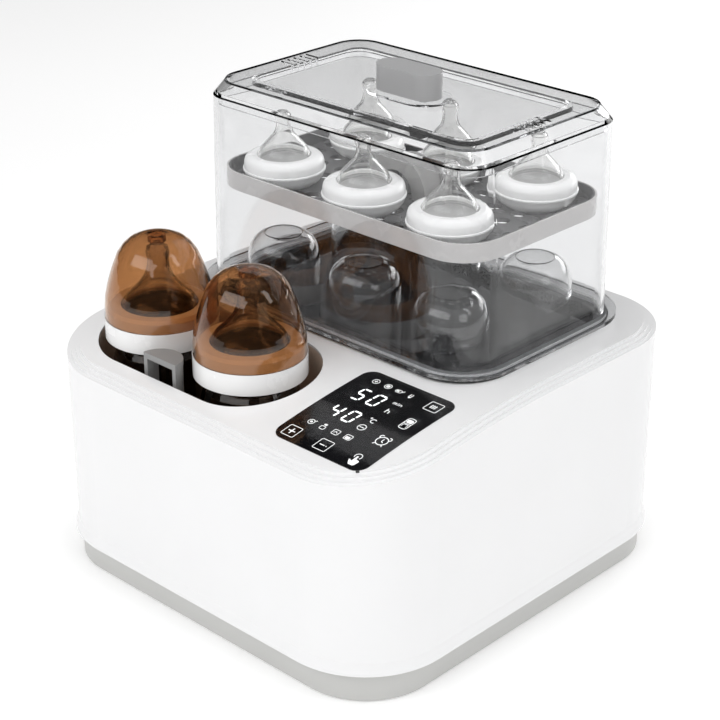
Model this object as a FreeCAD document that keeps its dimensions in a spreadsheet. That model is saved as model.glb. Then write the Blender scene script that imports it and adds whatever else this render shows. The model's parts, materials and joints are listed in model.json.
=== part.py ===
import FreeCAD, Part
import Sketcher
import math
import os

# Bottle steriliser and dryer with a two-bottle warmer.
# Frame: +Z up, +X to the right, the front faces -Y, origin on the floor under
# the middle of the base. Millimetres.

V = FreeCAD.Vector
doc = FreeCAD.newDocument("steriliser")
sheet = doc.addObject("Spreadsheet::Sheet", "Dims")


class Q:
    """A number together with the spreadsheet expression that gives it."""

    def __init__(self, value, text):
        self.v = float(value)
        self.e = text

    def _mk(self, other, op, value):
        return Q(value, "(%s %s %s)" % (self.e, op, other.e))

    def __add__(self, o):
        o = q(o)
        return self._mk(o, "+", self.v + o.v)

    def __radd__(self, o):
        return q(o) + self

    def __sub__(self, o):
        o = q(o)
        return self._mk(o, "-", self.v - o.v)

    def __rsub__(self, o):
        return q(o) - self

    def __mul__(self, o):
        o = q(o)
        return self._mk(o, "*", self.v * o.v)

    def __rmul__(self, o):
        return q(o) * self

    def __truediv__(self, o):
        o = q(o)
        return self._mk(o, "/", self.v / o.v)

    def __neg__(self):
        return Q(-self.v, "(0 - %s)" % self.e)


def q(x):
    if isinstance(x, Q):
        return x
    return Q(x, "%.6g" % x if x >= 0 else "(0 - %.6g)" % -x)


# ---------------------------------------------------------------- dimensions
VALUES = [
    # housing
    ("wallw", 296.6), ("walld", 299.8), ("wallr", 57.0), ("wallth", 4.0),
    ("lipw", 300.0), ("lipd", 303.3), ("lipz", 20.1), ("liph", 2.0), ("lipfade", 6.0),
    ("deckz", 163.0), ("deckbend", 7.0), ("deckarc", 757.0), ("decktop", 6.5),
    ("stepdrop", 4.0), ("stepin", 2.7), ("steprise", 1.333),
    ("postx", 123.8), ("posty", 125.4), ("postr", 8.0), ("postz", 22.1), ("posttop", 44.0),
    # pan and feet
    ("panw", 287.7), ("pand", 291.0), ("panr", 47.2), ("panz", 1.0), ("panfloor", 3.0), ("panth", 2.5),
    ("footr", 8.0), ("footx", 100.0), ("footy", 102.0), ("foothigh", 2.5),
    ("screwr", 1.45), ("headr", 3.3), ("headh", 2.0), ("screwlen", 34.0),
    # warmer
    ("warmx", -46.1), ("warmy", -89.7), ("warmlen", 80.5), ("warmr", 42.5), ("basinth", 2.0),
    ("basinz", 46.0), ("basinlip", 1.5),
    # panel
    ("panelx", 89.1), ("panely", -90.8), ("panelw", 70.8), ("paneld", 84.6), ("panelr", 8.0),
    # chamber
    ("cubey", 42.3), ("flangew", 249.0), ("flanged", 168.3), ("flanger", 39.0),
    ("flangez", 166.3), ("flangeh", 3.0), ("gasketh", 2.1), ("rimh", 1.2),
    ("hoodw", 233.9), ("hoodd", 153.1), ("hoodr", 31.0), ("hoodth", 2.5),
    ("topw", 225.2), ("topd", 144.5), ("topr", 19.8), ("seamz", 293.4),
    ("lidw", 213.3), ("lidd", 132.6), ("lidr", 18.7), ("lidz", 303.2),
    ("tubw", 222.0), ("tubd", 142.0), ("tubr", 25.7), ("tubth", 1.5), ("tubz", 134.0),
    # tray
    ("trayw", 217.0), ("trayd", 137.0), ("trayr", 26.0), ("trayz", 234.5), ("trayh", 11.8), ("trayth", 2.2),
    ("teatx", 70.0), ("teaty", 39.4),
    # rack
    ("domex", 72.0), ("domey", 39.2), ("rackw", 211.0), ("rackd", 131.0), ("rackr", 22.0), ("rackz", 154.5), ("rackth", 4.0), ("columnr", 8.0),
    # bottles
    ("bottlea", -90.5), ("bottleb", -8.0), ("bottley", -89.7),
    ("collarr", 35.2), ("collarz", 154.0), ("capz", 167.5),
    # dryer
    ("fanx", 75.0), ("fanz", 52.0), ("fanr", 23.0),
    ("inletx", -95.0), ("inletz", 44.0),
]
D = {}
for i, (name, value) in enumerate(VALUES):
    cell = "A%d" % (i + 1)
    sheet.set(cell, "%g" % value)
    sheet.setAlias(cell, name)
    D[name] = Q(value, "Dims.%s" % name)
doc.recompute()


def d(name):
    return D[name]


NODES = []          # finished sub-parts: (node name, object)


def finish(name, obj):
    obj.Label = name
    NODES.append((name, obj))
    return obj


def bind(obj, prop, val):
    val = q(val)
    obj.setExpression(prop, val.e)


# ---------------------------------------------------------------- sketches
def place_sketch(sk, x=0, y=0, z=0, attached=False):
    x, y, z = q(x), q(y), q(z)
    if attached:
        sk.AttachmentOffset = FreeCAD.Placement(V(x.v, y.v, z.v), FreeCAD.Rotation())
        base = "AttachmentOffset.Base."
    else:
        sk.Placement = FreeCAD.Placement(V(x.v, y.v, z.v), FreeCAD.Rotation())
        base = "Placement.Base."
    for axis, val in (("x", x), ("y", y), ("z", z)):
        if val.v or "Dims" in val.e:
            sk.setExpression(base + axis, val.e)


def body(name):
    return doc.addObject("PartDesign::Body", name + "_body")


def origin(b, role):
    return [f for f in b.Origin.OriginFeatures if f.Role == role][0]


COUNT = [0]


def sketch(b, role="XY_Plane", x=0, y=0, z=0):
    COUNT[0] += 1
    sk = b.newObject("Sketcher::SketchObject", "Sk%03d" % COUNT[0])
    sk.AttachmentSupport = [(origin(b, role), "")]
    sk.MapMode = "FlatFace"
    place_sketch(sk, x, y, z, attached=True)
    return sk


def free_sketch(x=0, y=0, z=0):
    COUNT[0] += 1
    sk = doc.addObject("Sketcher::SketchObject", "Sk%03d" % COUNT[0])
    place_sketch(sk, x, y, z)
    return sk


def dim(sk, con, val):
    """Adds a dimensional constraint bound to an expression."""
    n = sk.addConstraint(con)
    if "Dims" in val.e:
        sk.setExpression("Constraints[%d]" % n, val.e)
    return n


def rounded(sk, w, dd, r):
    """Rounded rectangle centred on the sketch origin."""
    w, dd, r = q(w), q(dd), q(r)
    a, b, c = w.v / 2, dd.v / 2, r.v
    L = Part.LineSegment
    pts = [(-a + c, -b, a - c, -b), (a, -b + c, a, b - c), (a - c, b, -a + c, b), (-a, b - c, -a, -b + c)]
    cen = [(a - c, -b + c, -90, 0), (a - c, b - c, 0, 90), (-a + c, b - c, 90, 180), (-a + c, -b + c, 180, 270)]
    g = sk.GeometryCount
    for i in range(4):
        x0, y0, x1, y1 = pts[i]
        sk.addGeometry(L(V(x0, y0, 0), V(x1, y1, 0)), False)
        cx, cy, s, e = cen[i]
        sk.addGeometry(Part.ArcOfCircle(Part.Circle(V(cx, cy, 0), V(0, 0, 1), c), math.radians(s), math.radians(e)), False)
    C = Sketcher.Constraint
    for i in range(4):
        line, arc, nxt = g + 2 * i, g + 2 * i + 1, g + (2 * i + 2) % 8
        sk.addConstraint(C("Tangent", line, 2, arc, 1))
        sk.addConstraint(C("Tangent", arc, 2, nxt, 1))
        sk.addConstraint(C("Horizontal" if i % 2 == 0 else "Vertical", line))
    for i in (1, 2, 3):
        sk.addConstraint(C("Equal", g + 1, g + 1 + 2 * i))
    sk.addConstraint(C("Symmetric", g, 1, g + 4, 1, -1, 1))
    dim(sk, C("Radius", g + 1, r.v), r)
    dim(sk, C("DistanceX", g + 6, 1, g + 2, 1, w.v), w)
    dim(sk, C("DistanceY", g, 1, g + 4, 1, dd.v), dd)


def stadium(sk, length, r):
    """Slot shape along the sketch's X, centred on its origin."""
    length, r = q(length), q(r)
    a, c = length.v / 2, r.v
    g = sk.GeometryCount
    sk.addGeometry(Part.LineSegment(V(-a, -c, 0), V(a, -c, 0)), False)
    sk.addGeometry(Part.ArcOfCircle(Part.Circle(V(a, 0, 0), V(0, 0, 1), c), -math.pi / 2, math.pi / 2), False)
    sk.addGeometry(Part.LineSegment(V(a, c, 0), V(-a, c, 0)), False)
    sk.addGeometry(Part.ArcOfCircle(Part.Circle(V(-a, 0, 0), V(0, 0, 1), c), math.pi / 2, math.pi * 1.5), False)
    C = Sketcher.Constraint
    for i in range(4):
        sk.addConstraint(C("Tangent", g + i, 2, g + (i + 1) % 4, 1))
    sk.addConstraint(C("Horizontal", g))
    sk.addConstraint(C("Symmetric", g, 1, g + 2, 1, -1, 1))
    sk.addConstraint(C("Equal", g + 1, g + 3))
    dim(sk, C("Radius", g + 1, r.v), r)
    dim(sk, C("DistanceX", g, 1, g, 2, length.v), length)


def circle(sk, r, x=0, y=0):
    r, x, y = q(r), q(x), q(y)
    g = sk.addGeometry(Part.Circle(V(x.v, y.v, 0), V(0, 0, 1), r.v), False)
    C = Sketcher.Constraint
    dim(sk, C("Radius", g, r.v), r)
    pin(sk, g, 3, x, y)
    return g


def pin(sk, g, end, x, y):
    """Fixes a point by its distances from the sketch origin."""
    C = Sketcher.Constraint
    x, y = q(x), q(y)
    if abs(x.v) < 1e-9:
        sk.addConstraint(C("PointOnObject", g, end, -2))
    elif x.v > 0:
        dim(sk, C("DistanceX", -1, 1, g, end, x.v), x)
    else:
        dim(sk, C("DistanceX", g, end, -1, 1, -x.v), -x)
    if abs(y.v) < 1e-9:
        sk.addConstraint(C("PointOnObject", g, end, -1))
    elif y.v > 0:
        dim(sk, C("DistanceY", -1, 1, g, end, y.v), y)
    else:
        dim(sk, C("DistanceY", g, end, -1, 1, -y.v), -y)


def outline(sk, pts):
    """Closed outline. Each entry is (x, y) or (x, y, bulge radius): the radius,
    signed, curves the run that ends at that point (positive turns left)."""
    pts = [(q(p[0]), q(p[1]), (p[2] if len(p) > 2 else None)) for p in pts]
    C = Sketcher.Constraint
    n = len(pts)
    g0 = sk.GeometryCount
    ends = []
    for i in range(n):
        a, b = pts[i], pts[(i + 1) % n]
        ax, ay, bx, by = a[0].v, a[1].v, b[0].v, b[1].v
        rad = b[2]
        if rad is None:
            sk.addGeometry(Part.LineSegment(V(ax, ay, 0), V(bx, by, 0)), False)
            ends.append((1, 2))
        else:
            r = abs(rad)
            mx, my = (ax + bx) / 2, (ay + by) / 2
            L = math.hypot(bx - ax, by - ay)
            hgt = math.sqrt(max(r * r - L * L / 4, 0))
            nx, ny = -(by - ay) / L, (bx - ax) / L
            s = 1 if rad > 0 else -1
            cx, cy = mx + nx * hgt * s, my + ny * hgt * s
            t0, t1 = math.atan2(ay - cy, ax - cx), math.atan2(by - cy, bx - cx)
            if rad > 0:
                if t1 < t0:
                    t1 += 2 * math.pi
                sk.addGeometry(Part.ArcOfCircle(Part.Circle(V(cx, cy, 0), V(0, 0, 1), r), t0, t1), False)
                ends.append((1, 2))
            else:
                if t0 < t1:
                    t0 += 2 * math.pi
                sk.addGeometry(Part.ArcOfCircle(Part.Circle(V(cx, cy, 0), V(0, 0, 1), r), t1, t0), False)
                ends.append((2, 1))
    for i in range(n):
        j = (i + 1) % n
        sk.addConstraint(C("Coincident", g0 + i, ends[i][1], g0 + j, ends[j][0]))
    for i in range(n):
        pin(sk, g0 + i, ends[i][0], pts[i][0], pts[i][1])
        nxt = pts[(i + 1) % n]
        if nxt[2] is not None:
            span = math.hypot(nxt[0].v - pts[i][0].v, nxt[1].v - pts[i][1].v)
            if abs(span - 2 * abs(nxt[2])) < 1e-6:      # a half circle standing on the X axis
                sk.addConstraint(C("PointOnObject", g0 + i, 3, -1))
            else:
                sk.addConstraint(C("Radius", g0 + i, abs(nxt[2])))


# ---------------------------------------------------------------- features
def set_symmetric(f):
    if hasattr(f, "SideType"):
        f.SideType = "Symmetric"
    else:
        f.Midplane = True


def pad(b, sk, length, symmetric=False, reverse=False):
    f = b.newObject("PartDesign::Pad", "Pad")
    f.Profile = sk
    length = q(length)
    f.Length = length.v
    bind(f, "Length", length)
    if symmetric:
        set_symmetric(f)
    f.Reversed = reverse
    doc.recompute()
    return f


def pocket(b, sk, length, symmetric=False, reverse=False):
    before = b.Shape.Volume
    f = b.newObject("PartDesign::Pocket", "Pocket")
    f.Profile = sk
    length = q(length)
    f.Length = length.v
    bind(f, "Length", length)
    if symmetric:
        set_symmetric(f)
    f.Reversed = reverse
    doc.recompute()
    if not b.Shape.Volume < before - 1e-3:
        raise RuntimeError("a pocket cut nothing in " + b.Name)
    return f


def revolve(b, sk):
    f = b.newObject("PartDesign::Revolution", "Revolution")
    f.Profile = sk
    f.ReferenceAxis = (sk, ["V_Axis"])
    f.Angle = 360
    doc.recompute()
    return f


def loft(b, s0, s1, cut=False):
    f = b.newObject("PartDesign::SubtractiveLoft" if cut else "PartDesign::AdditiveLoft", "Loft")
    f.Profile = s0
    f.Sections = [s1]
    f.Ruled = True
    doc.recompute()
    return f


def rr_sketch(b, w, dd, r, z, x=0, y=0):
    sk = sketch(b, "XY_Plane", x, y, z)
    rounded(sk, w, dd, r)
    return sk


def st_sketch(b, length, r, z, x=0, y=0):
    sk = sketch(b, "XY_Plane", x, y, z)
    stadium(sk, length, r)
    return sk


# Part workbench helpers
def extrude(sk, length, direction=V(0, 0, 1), symmetric=False):
    COUNT[0] += 1
    f = doc.addObject("Part::Extrusion", "Ext%03d" % COUNT[0])
    f.Base = sk
    f.DirMode = "Custom"
    f.Dir = direction
    length = q(length)
    f.LengthFwd = length.v
    bind(f, "LengthFwd", length)
    f.Solid = True
    f.Symmetric = symmetric
    return f


def prism_rr(w, dd, r, z, height, x=0, y=0):
    sk = free_sketch(x, y, z)
    rounded(sk, w, dd, r)
    return extrude(sk, height)


def prism_st(length, r, z, height, x=0, y=0):
    sk = free_sketch(x, y, z)
    stadium(sk, length, r)
    return extrude(sk, height)


def cyl(r, height, x, y, z, axis=None):
    COUNT[0] += 1
    f = doc.addObject("Part::Cylinder", "Cyl%03d" % COUNT[0])
    r, height, x, y, z = q(r), q(height), q(x), q(y), q(z)
    f.Radius, f.Height = r.v, height.v
    bind(f, "Radius", r)
    bind(f, "Height", height)
    rot = FreeCAD.Rotation()
    if axis == "y":
        rot = FreeCAD.Rotation(V(1, 0, 0), -90)      # +Z of the cylinder to +Y
    if axis == "x":
        rot = FreeCAD.Rotation(V(0, 1, 0), 90)
    f.Placement = FreeCAD.Placement(V(x.v, y.v, z.v), rot)
    for a, val in (("x", x), ("y", y), ("z", z)):
        if "Dims" in val.e:
            f.setExpression("Placement.Base." + a, val.e)
    return f


def box(lx, ly, lz, x, y, z, centred=True):
    """Box by its size; x, y are its middle and z its bottom."""
    COUNT[0] += 1
    f = doc.addObject("Part::Box", "Box%03d" % COUNT[0])
    lx, ly, lz, x, y, z = [q(t) for t in (lx, ly, lz, x, y, z)]
    f.Length, f.Width, f.Height = lx.v, ly.v, lz.v
    bind(f, "Length", lx)
    bind(f, "Width", ly)
    bind(f, "Height", lz)
    px = x - lx / 2 if centred else x
    py = y - ly / 2 if centred else y
    f.Placement = FreeCAD.Placement(V(px.v, py.v, z.v), FreeCAD.Rotation())
    for a, val in (("x", px), ("y", py), ("z", z)):
        if "Dims" in val.e:
            f.setExpression("Placement.Base." + a, val.e)
    return f


def fuse(*parts):
    COUNT[0] += 1
    f = doc.addObject("Part::MultiFuse", "Fuse%03d" % COUNT[0])
    f.Shapes = list(parts)
    return f


def cut(a, b):
    COUNT[0] += 1
    f = doc.addObject("Part::Cut", "Cut%03d" % COUNT[0])
    f.Base, f.Tool = a, b
    return f


def common(a, b):
    COUNT[0] += 1
    f = doc.addObject("Part::MultiCommon", "Com%03d" % COUNT[0])
    f.Shapes = [a, b]
    return f


def deck_slab(top, bottom, flat_bottom=None):
    """Slab whose top runs `top` under the deck surface: level over the rear and
    an arc that falls away to the front. Its bottom follows `bottom` lower."""
    top, bottom = q(top), q(bottom)
    ext = 160.0
    sk = doc.addObject("Sketcher::SketchObject", "Slab%03d" % (COUNT[0] + 1))
    COUNT[0] += 1
    # the sketch lies in the YZ plane: its X is the row's Y, its Y the row's Z
    sk.Placement = FreeCAD.Placement(V(0, 0, 0), FreeCAD.Rotation(V(0, 0, 1), V(1, 0, 0), V(0, 1, 0), "ZXY"))
    sk.Placement = FreeCAD.Placement(V(0, 0, 0), FreeCAD.Rotation(0.5, 0.5, 0.5, 0.5))
    za = d("deckz") - top
    R = d("deckarc")
    yt = d("deckbend")
    C = Sketcher.Constraint

    def arc(zlev, rad):
        cy = zlev.v - rad.v
        yy = -ext
        zz = cy + math.sqrt(rad.v ** 2 - (yt.v - yy) ** 2)
        return cy, zz

    # lower edge: concentric arc, so the slab has one thickness
    r_top = R - top
    c_top, z_front = arc(za, r_top)
    g = 0
    a_front = math.atan2(z_front - c_top, -ext - yt.v)
    a_tan = math.pi / 2
    sk.addGeometry(Part.ArcOfCircle(Part.Circle(V(yt.v, c_top, 0), V(0, 0, 1), r_top.v), a_tan, a_front), False)   # 0: from tangent point to front
    sk.addGeometry(Part.LineSegment(V(yt.v, za.v, 0), V(ext, za.v, 0)), False)     # 1 top rear
    if flat_bottom is None:
        zb = d("deckz") - bottom
        r_bot = R - bottom
        c_bot, zb_front = arc(zb, r_bot)
        b_front = math.atan2(zb_front - c_bot, -ext - yt.v)
        sk.addGeometry(Part.LineSegment(V(ext, za.v, 0), V(ext, zb.v, 0)), False)      # 2
        sk.addGeometry(Part.LineSegment(V(ext, zb.v, 0), V(yt.v, zb.v, 0)), False)     # 3
        sk.addGeometry(Part.ArcOfCircle(Part.Circle(V(yt.v, c_bot, 0), V(0, 0, 1), r_bot.v), a_tan, b_front), False)  # 4
        sk.addGeometry(Part.LineSegment(V(-ext, zb_front, 0), V(-ext, z_front, 0)), False)    # 5
        for a, b in (((0, 1), (1, 1)), ((1, 2), (2, 1)), ((2, 2), (3, 1)), ((3, 2), (4, 1)), ((4, 2), (5, 1)), ((5, 2), (0, 2))):
            sk.addConstraint(C("Coincident", a[0], a[1], b[0], b[1]))
        sk.addConstraint(C("Horizontal", 1))
        sk.addConstraint(C("Horizontal", 3))
        sk.addConstraint(C("Vertical", 2))
        sk.addConstraint(C("Vertical", 5))
        pin(sk, 1, 1, yt, za)
        pin(sk, 0, 3, yt, za - r_top)
        pin(sk, 4, 3, yt, zb - r_bot)
        dim(sk, C("DistanceY", -1, 1, 3, 2, zb.v), zb)
        dim(sk, C("DistanceX", -1, 1, 1, 2, ext), q(ext))
        dim(sk, C("DistanceX", 5, 1, -1, 1, ext), q(ext))
        dim(sk, C("Vertical", 3, 2, 4, 3), q(0)) if False else sk.addConstraint(C("Vertical", 3, 2, 4, 3))
    else:
        zb = q(flat_bottom)
        sk.addGeometry(Part.LineSegment(V(ext, za.v, 0), V(ext, zb.v, 0)), False)
        sk.addGeometry(Part.LineSegment(V(ext, zb.v, 0), V(-ext, zb.v, 0)), False)
        sk.addGeometry(Part.LineSegment(V(-ext, zb.v, 0), V(-ext, z_front, 0)), False)
        for a, b in (((0, 1), (1, 1)), ((1, 2), (2, 1)), ((2, 2), (3, 1)), ((3, 2), (4, 1)), ((4, 2), (0, 2))):
            sk.addConstraint(C("Coincident", a[0], a[1], b[0], b[1]))
        sk.addConstraint(C("Horizontal", 1))
        sk.addConstraint(C("Horizontal", 3))
        sk.addConstraint(C("Vertical", 2))
        sk.addConstraint(C("Vertical", 4))
        pin(sk, 1, 1, yt, za)
        pin(sk, 0, 3, yt, za - r_top)
        dim(sk, C("DistanceY", -1, 1, 3, 1, zb.v), zb)
        dim(sk, C("DistanceX", -1, 1, 1, 2, ext), q(ext))
        dim(sk, C("DistanceX", 4, 1, -1, 1, ext), q(ext))
    return extrude(sk, 2 * ext, V(1, 0, 0), symmetric=True)


# ================================================================ base
# Housing: a rounded-square wall with a flared lip at its foot and a top edge
# that dips to the front; one shadow step shows outside the deck.
W, H, RW = d("wallw"), d("walld"), d("wallr")
shell_low = prism_rr(d("lipw"), d("lipd"), RW + 1.7, d("lipz"), d("liph"))
fb = body("lip_fade")
loft(fb, rr_sketch(fb, d("lipw"), d("lipd"), RW + 1.7, d("lipz") + d("liph")),
     rr_sketch(fb, W, H, RW, d("lipz") + d("liph") + d("lipfade")))
shell_wall = common(prism_rr(W, H, RW, d("lipz") + d("liph") + d("lipfade") - 0.01, 160),
                    deck_slab(d("stepdrop"), 0, flat_bottom=10))
shell_posts = [cyl(d("postr"), d("posttop") - d("postz"), sx * d("postx"), sy * d("posty"), d("postz"))
               for sx in (-1, 1) for sy in (-1, 1)]
shell_bores = [cyl(d("screwr") + 0.05, 18, sx * d("postx"), sy * d("posty"), d("postz") - 1)
               for sx in (-1, 1) for sy in (-1, 1)]
inner = prism_rr(W - 2 * d("wallth"), H - 2 * d("wallth"), RW - d("wallth"), d("lipz") - 1, 180)
rear_holes = fuse(box(60, 20, 40, d("fanx"), 148, d("fanz") - 20), box(27.2, 20, 20.2, d("inletx"), 148, d("inletz") - 10.1))
shell = cut(cut(fuse(cut(fuse(shell_low, fb, shell_wall), inner), *shell_posts), fuse(*shell_bores)), rear_holes)
finish("housing_shell", shell)

# Deck: three thin terraces climb to the deck surface; openings for the warmer,
# the chamber and the control glass.
S = d("stepin")
layer_a = common(prism_rr(W - 2 * S, H - 2 * S, RW - S, 120, 60), deck_slab(2 * d("steprise"), d("stepdrop")))
layer_b = common(prism_rr(W - 4 * S, H - 4 * S, RW - 2 * S, 120, 60), deck_slab(d("steprise"), d("decktop")))
layer_c = common(prism_rr(W - 6 * S, H - 6 * S, RW - 3 * S, 120, 60), deck_slab(0, d("decktop")))
layer_d = common(prism_rr(W - 2 * d("wallth") - 0.1, H - 2 * d("wallth") - 0.1, RW - d("wallth"), 120, 60),
                 deck_slab(3.0, d("decktop")))
deck = fuse(layer_a, layer_b, layer_c, layer_d)
WX, WY = d("warmx"), d("warmy")
hole_top = prism_st(d("warmlen"), d("warmr"), 120, 60, WX, WY)
hole_low = common(prism_st(d("warmlen"), d("warmr") + d("basinth") + 0.05, 120, 60, WX, WY), deck_slab(d("basinlip"), 12))
CY = d("cubey")
hole_cube = prism_rr(d("tubw") + 0.4, d("tubd") + 0.4, d("tubr"), 120, 60, 0, CY)
glass_seat = common(prism_rr(d("panelw") + 0.1, d("paneld") + 0.1, d("panelr"), 120, 60, d("panelx"), d("panely")),
                    deck_slab(-2, 1.5))
window = prism_rr(58, 70, 4, 120, 60, d("panelx"), d("panely"))
deck = cut(deck, fuse(hole_top, hole_low, hole_cube, glass_seat, window))
finish("top_deck", deck)

# Control glass, flush and following the deck's curve, with its board under it.
finish("control_glass", common(prism_rr(d("panelw"), d("paneld"), d("panelr"), 120, 60, d("panelx"), d("panely")),
                               deck_slab(-0.3, 1.5)))
finish("display_board", common(prism_rr(57.6, 69.6, 3.5, 120, 60, d("panelx"), d("panely")), deck_slab(1.5, 4.2)))

# Pan: a shallow tub that carries everything, with screw bosses and cooling slots.
b = body("pan")
pad(b, rr_sketch(b, d("panw"), d("pand"), d("panr"), d("panz")), d("lipz") - d("panz"))
pocket(b, rr_sketch(b, d("panw") - 2 * d("panth"), d("pand") - 2 * d("panth"), d("panr") - d("panth"), d("lipz")),
       d("lipz") - d("panz") - d("panfloor"))
sk = sketch(b, "XY_Plane", 0, 0, d("panz") + d("panfloor"))
for sx in (-1, 1):
    for sy in (-1, 1):
        circle(sk, 6.5, sx * d("postx"), sy * d("posty"))
pad(b, sk, d("postz") - d("panz") - d("panfloor"))
sk = sketch(b, "XY_Plane", 0, 0, d("postz"))
for sx in (-1, 1):
    for sy in (-1, 1):
        circle(sk, d("screwr") + 0.25, sx * d("postx"), sy * d("posty"))
pocket(b, sk, d("postz"))
sk = sketch(b, "XY_Plane", 0, 0, d("panz") + d("headh"))
for sx in (-1, 1):
    for sy in (-1, 1):
        circle(sk, d("headr") + 0.2, sx * d("postx"), sy * d("posty"))
pocket(b, sk, 10)
sk = sketch(b, "XY_Plane", 0, 0, d("foothigh"))
for sx in (-1, 1):
    for sy in (-1, 1):
        circle(sk, d("footr") + 0.05, sx * d("footx"), sy * d("footy"))
pocket(b, sk, 10)
sk = sketch(b, "XY_Plane", 0, -20, d("panz") + d("panfloor"))
stadium(sk, 60, 2)
slot_cut = pocket(b, sk, 10)
pat = b.newObject("PartDesign::LinearPattern", "Slots")
pat.Originals = [slot_cut]
pat.Direction = (origin(b, "Y_Axis"), [""])
pat.Length = 60
pat.Occurrences = 7
b.Tip = pat
doc.recompute()
# standoffs and pillars for the boards, heaters, fan and basin
sk = sketch(b, "XY_Plane", 0, 0, d("panz") + d("panfloor"))
for px, py in ((-118, 10), (-42, 10), (-118, 78), (-42, 78)):
    circle(sk, 4, px, py)
pad(b, sk, 8)
finish("base_pan", b)

finish("rubber_feet", fuse(*[cyl(d("footr"), d("foothigh"), sx * d("footx"), sy * d("footy"), 0)
                             for sx in (-1, 1) for sy in (-1, 1)]))
finish("base_screws", fuse(*[cyl(d("screwr"), d("screwlen"), sx * d("postx"), sy * d("posty"), d("panz"))
                             for sx in (-1, 1) for sy in (-1, 1)],
                           *[cyl(d("headr"), d("headh"), sx * d("postx"), sy * d("posty"), d("panz"))
                             for sx in (-1, 1) for sy in (-1, 1)]))

# ---------------------------------------------------------------- warmer
basin_out = common(prism_st(d("warmlen"), d("warmr") + d("basinth"), d("basinz"), 130, WX, WY),
                   deck_slab(d("basinlip"), 0, flat_bottom=10))
basin_in = prism_st(d("warmlen"), d("warmr"), d("basinz") + 2, 130, WX, WY)
finish("warmer_basin", cut(basin_out, basin_in))
finish("warmer_heater", prism_st(d("warmlen"), 30, d("basinz") - 6, 6, WX, WY))
sensor_low = cyl(5, 10, WX, WY, d("basinz") - 16)
finish("warmer_sensor", fuse(sensor_low, box(18, 6, 2, WX, WY, d("basinz") - 8)))
pillars = fuse(*[cyl(4.5, d("basinz") - 4, WX + px, WY + py, 4) for px, py in ((-40, -37), (40, -37), (-40, 37), (40, 37))])
finish("basin_pillars", pillars)

# ---------------------------------------------------------------- steam tub
b = body("tub")
pad(b, rr_sketch(b, d("tubw"), d("tubd"), d("tubr"), d("tubz"), 0, CY), d("deckz") - d("tubz") + d("rimh"))
pad(b, rr_sketch(b, 240, 159, 35, d("deckz"), 0, CY), d("rimh"))
pocket(b, rr_sketch(b, d("tubw") - 2 * d("tubth"), d("tubd") - 2 * d("tubth"), d("tubr") - d("tubth"),
                    d("deckz") + d("rimh"), 0, CY), d("deckz") + d("rimh") - d("tubz") - 2)
# hot-air slot through the rear wall
sk = sketch(b, "XZ_Plane", d("fanx"), 151, -105)
rounded(sk, 27, 7, 2)
pocket(b, sk, 20)
finish("steam_tub", b)
finish("chamber_gasket", cut(prism_rr(238, 157, 34, d("deckz") + d("rimh"), d("gasketh"), 0, CY),
                             prism_rr(230.4, 149.6, 29.5, d("deckz"), 10, 0, CY)))
finish("steam_heater", fuse(cyl(45, 6, 0, CY, d("tubz") - 6), cyl(12, 3, 30, CY + 10, d("tubz") - 9)))
finish("steam_thermostat", fuse(cyl(9, 8, 0, CY, d("tubz") - 14), box(26, 7, 1.5, 0, CY, d("tubz") - 7.5)))

# ---------------------------------------------------------------- dryer
FX, FZ, FR = d("fanx"), d("fanz"), d("fanr")
# fan casing: a box with a round chamber, an intake at the rear, and the outlet up
casing = box(60, 24, 60, FX, 120, FZ - 30)
chamber = cyl(FR + 3, 20, FX, 110, FZ, "y")
intake = cyl(18, 10, FX, 125, FZ, "y")
shafthole = cyl(3.2, 10, FX, 105, FZ, "y")
outlet = box(31, 14, 40, FX, 121.8, FZ)
casing_legs = fuse(box(8, 20, FZ - 30 - 4, FX - 24, 120, 4), box(8, 20, FZ - 30 - 4, FX + 24, 120, 4))
finish("fan_casing", fuse(cut(casing, fuse(chamber, intake, shafthole, outlet)), casing_legs))
finish("fan_motor", fuse(cyl(15, 20, FX, 88, FZ, "y"), cyl(1.5, 19, FX, 107.9, FZ, "y")))
b = body("impeller")
sk = sketch(b, "XZ_Plane", FX, FZ, -112.5)
circle(sk, 6)
circle(sk, 1.52)
pad(b, sk, 14, reverse=True)
sk = sketch(b, "XZ_Plane", FX, FZ, -112.5)
circle(sk, FR)
circle(sk, 1.52)
pad(b, sk, 1.5, reverse=True)
sk = sketch(b, "XZ_Plane", FX, FZ, -113.9)
outline(sk, [(15.5, 1.2), (22.2, -1.6), (22.4, -0.4), (15.9, 2.4)])
blade = pad(b, sk, 11.5, reverse=True)
pat = b.newObject("PartDesign::PolarPattern", "Blades")
pat.Originals = [blade]
pat.Axis = (sk, ["N_Axis"])
pat.Angle = 360
pat.Occurrences = 16
b.Tip = pat
doc.recompute()
finish("fan_impeller", b)
duct_out = box(34, 17, 74.5, FX, 121.8, FZ + 30)
duct_in = box(31, 14, 74, FX, 121.8, FZ + 29)
duct_mouth = box(27, 20, 7, FX, 114, 147.5)
finish("air_duct", cut(duct_out, fuse(duct_in, duct_mouth)))
finish("air_heater", fuse(*([box(31, 14, 3, FX, 121.8, 92), box(31, 14, 3, FX, 121.8, 109)] +
                            [box(1.2, 14, 15, FX - 14 + 4 * i, 121.8, 94.5) for i in range(8)])))
# filter drawer at the rear: a slatted cover that carries the foam
cover = box(59.4, 4, 39.4, FX, 147.9, FZ - 19.7)
slats = fuse(*[box(48, 10, 2.4, FX, 148, FZ - 14.2 + 5.2 * i) for i in range(6)])
tabs = fuse(box(2, 9, 8, FX - 28.5, 141.5, FZ - 4), box(2, 9, 8, FX + 28.5, 141.5, FZ - 4))
finish("filter_cover", fuse(cut(cover, slats), tabs))
finish("air_filter", box(54, 8, 34, FX, 141.9, FZ - 17))

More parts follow.
